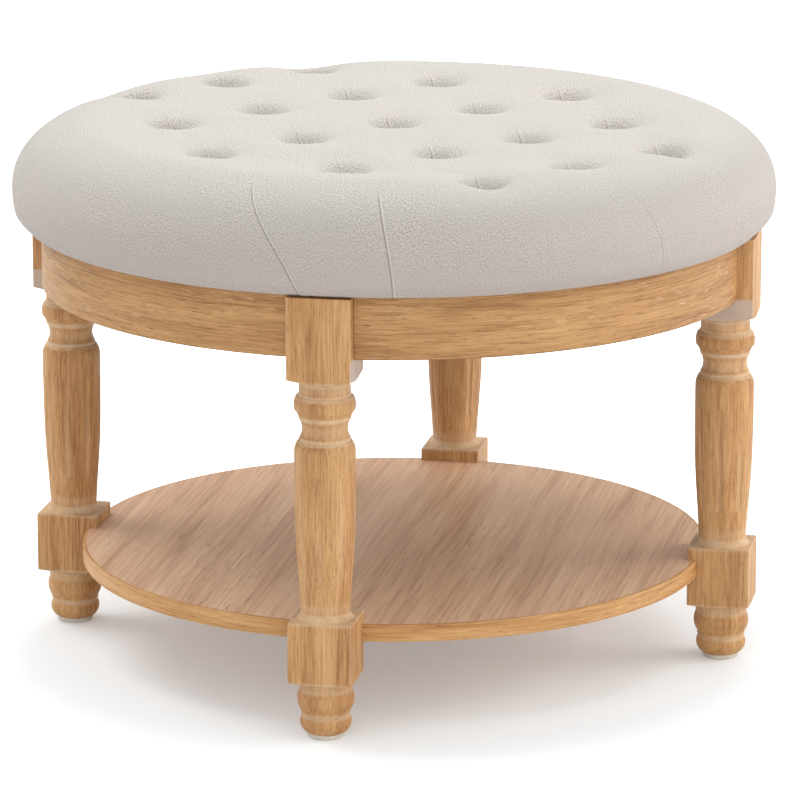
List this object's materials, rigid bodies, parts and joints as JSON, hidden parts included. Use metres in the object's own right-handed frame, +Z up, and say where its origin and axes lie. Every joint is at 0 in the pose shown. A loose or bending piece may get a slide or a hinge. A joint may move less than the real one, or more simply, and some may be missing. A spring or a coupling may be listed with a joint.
{
  "type": "ottoman coffee table",
  "caption": "Round coffee table ottoman: deep-tufted linen cushion on a curved oak apron, turned fluted legs with square blocks, and an open round shelf below.",
  "frame": {"origin": "on the floor under the centre of the table", "axes": "+Z up; the four legs stand on the X and Y axes, with leg_front on -Y and leg_right on +X"},
  "size_m": [0.67, 0.67, 0.4749],
  "materials": {
    "oak": "light honey oak, lime wash left in the turned grooves, satin",
    "apron_oak": "light honey oak with grain along the rail, satin",
    "lipping_oak": "solid oak lipping, satin",
    "shelf_veneer": "brown veneer, grain across the panel, satin",
    "brace_wood": "sawn rubberwood, unfinished",
    "dowel_wood": "beech dowel",
    "plywood": "plywood",
    "linen": "woven linen in a light warm greige",
    "foam": "upholstery foam",
    "twine": "waxed tufting twine",
    "dust_cloth": "black spunbonded cloth",
    "zinc_steel": "zinc plated",
    "glide_nylon": "pale nylon glide"
  },
  "bodies": {
    "root": {"leg_front": "oak", "leg_right": "oak", "leg_back": "oak", "leg_left": "oak", "glide_front": "glide_nylon", "glide_right": "glide_nylon", "glide_back": "glide_nylon", "glide_left": "glide_nylon", "apron_front_right": "apron_oak", "apron_back_right": "apron_oak", "apron_back_left": "apron_oak", "apron_front_left": "apron_oak", "corner_brace_front": "brace_wood", "corner_brace_right": "brace_wood", "corner_brace_back": "brace_wood", "corner_brace_left": "brace_wood", "hanger_bolts": "zinc_steel", "washers": "zinc_steel", "hanger_nuts": "zinc_steel", "rail_dowels": "dowel_wood", "shelf_dowels": "dowel_wood", "shelf_panel": "shelf_veneer", "shelf_lipping": "lipping_oak", "seat_board": "plywood", "foam_core": "foam", "cushion_cover": "linen", "tuft_twines": "twine", "dust_cloth": "dust_cloth"}
  },
  "joints": []
}
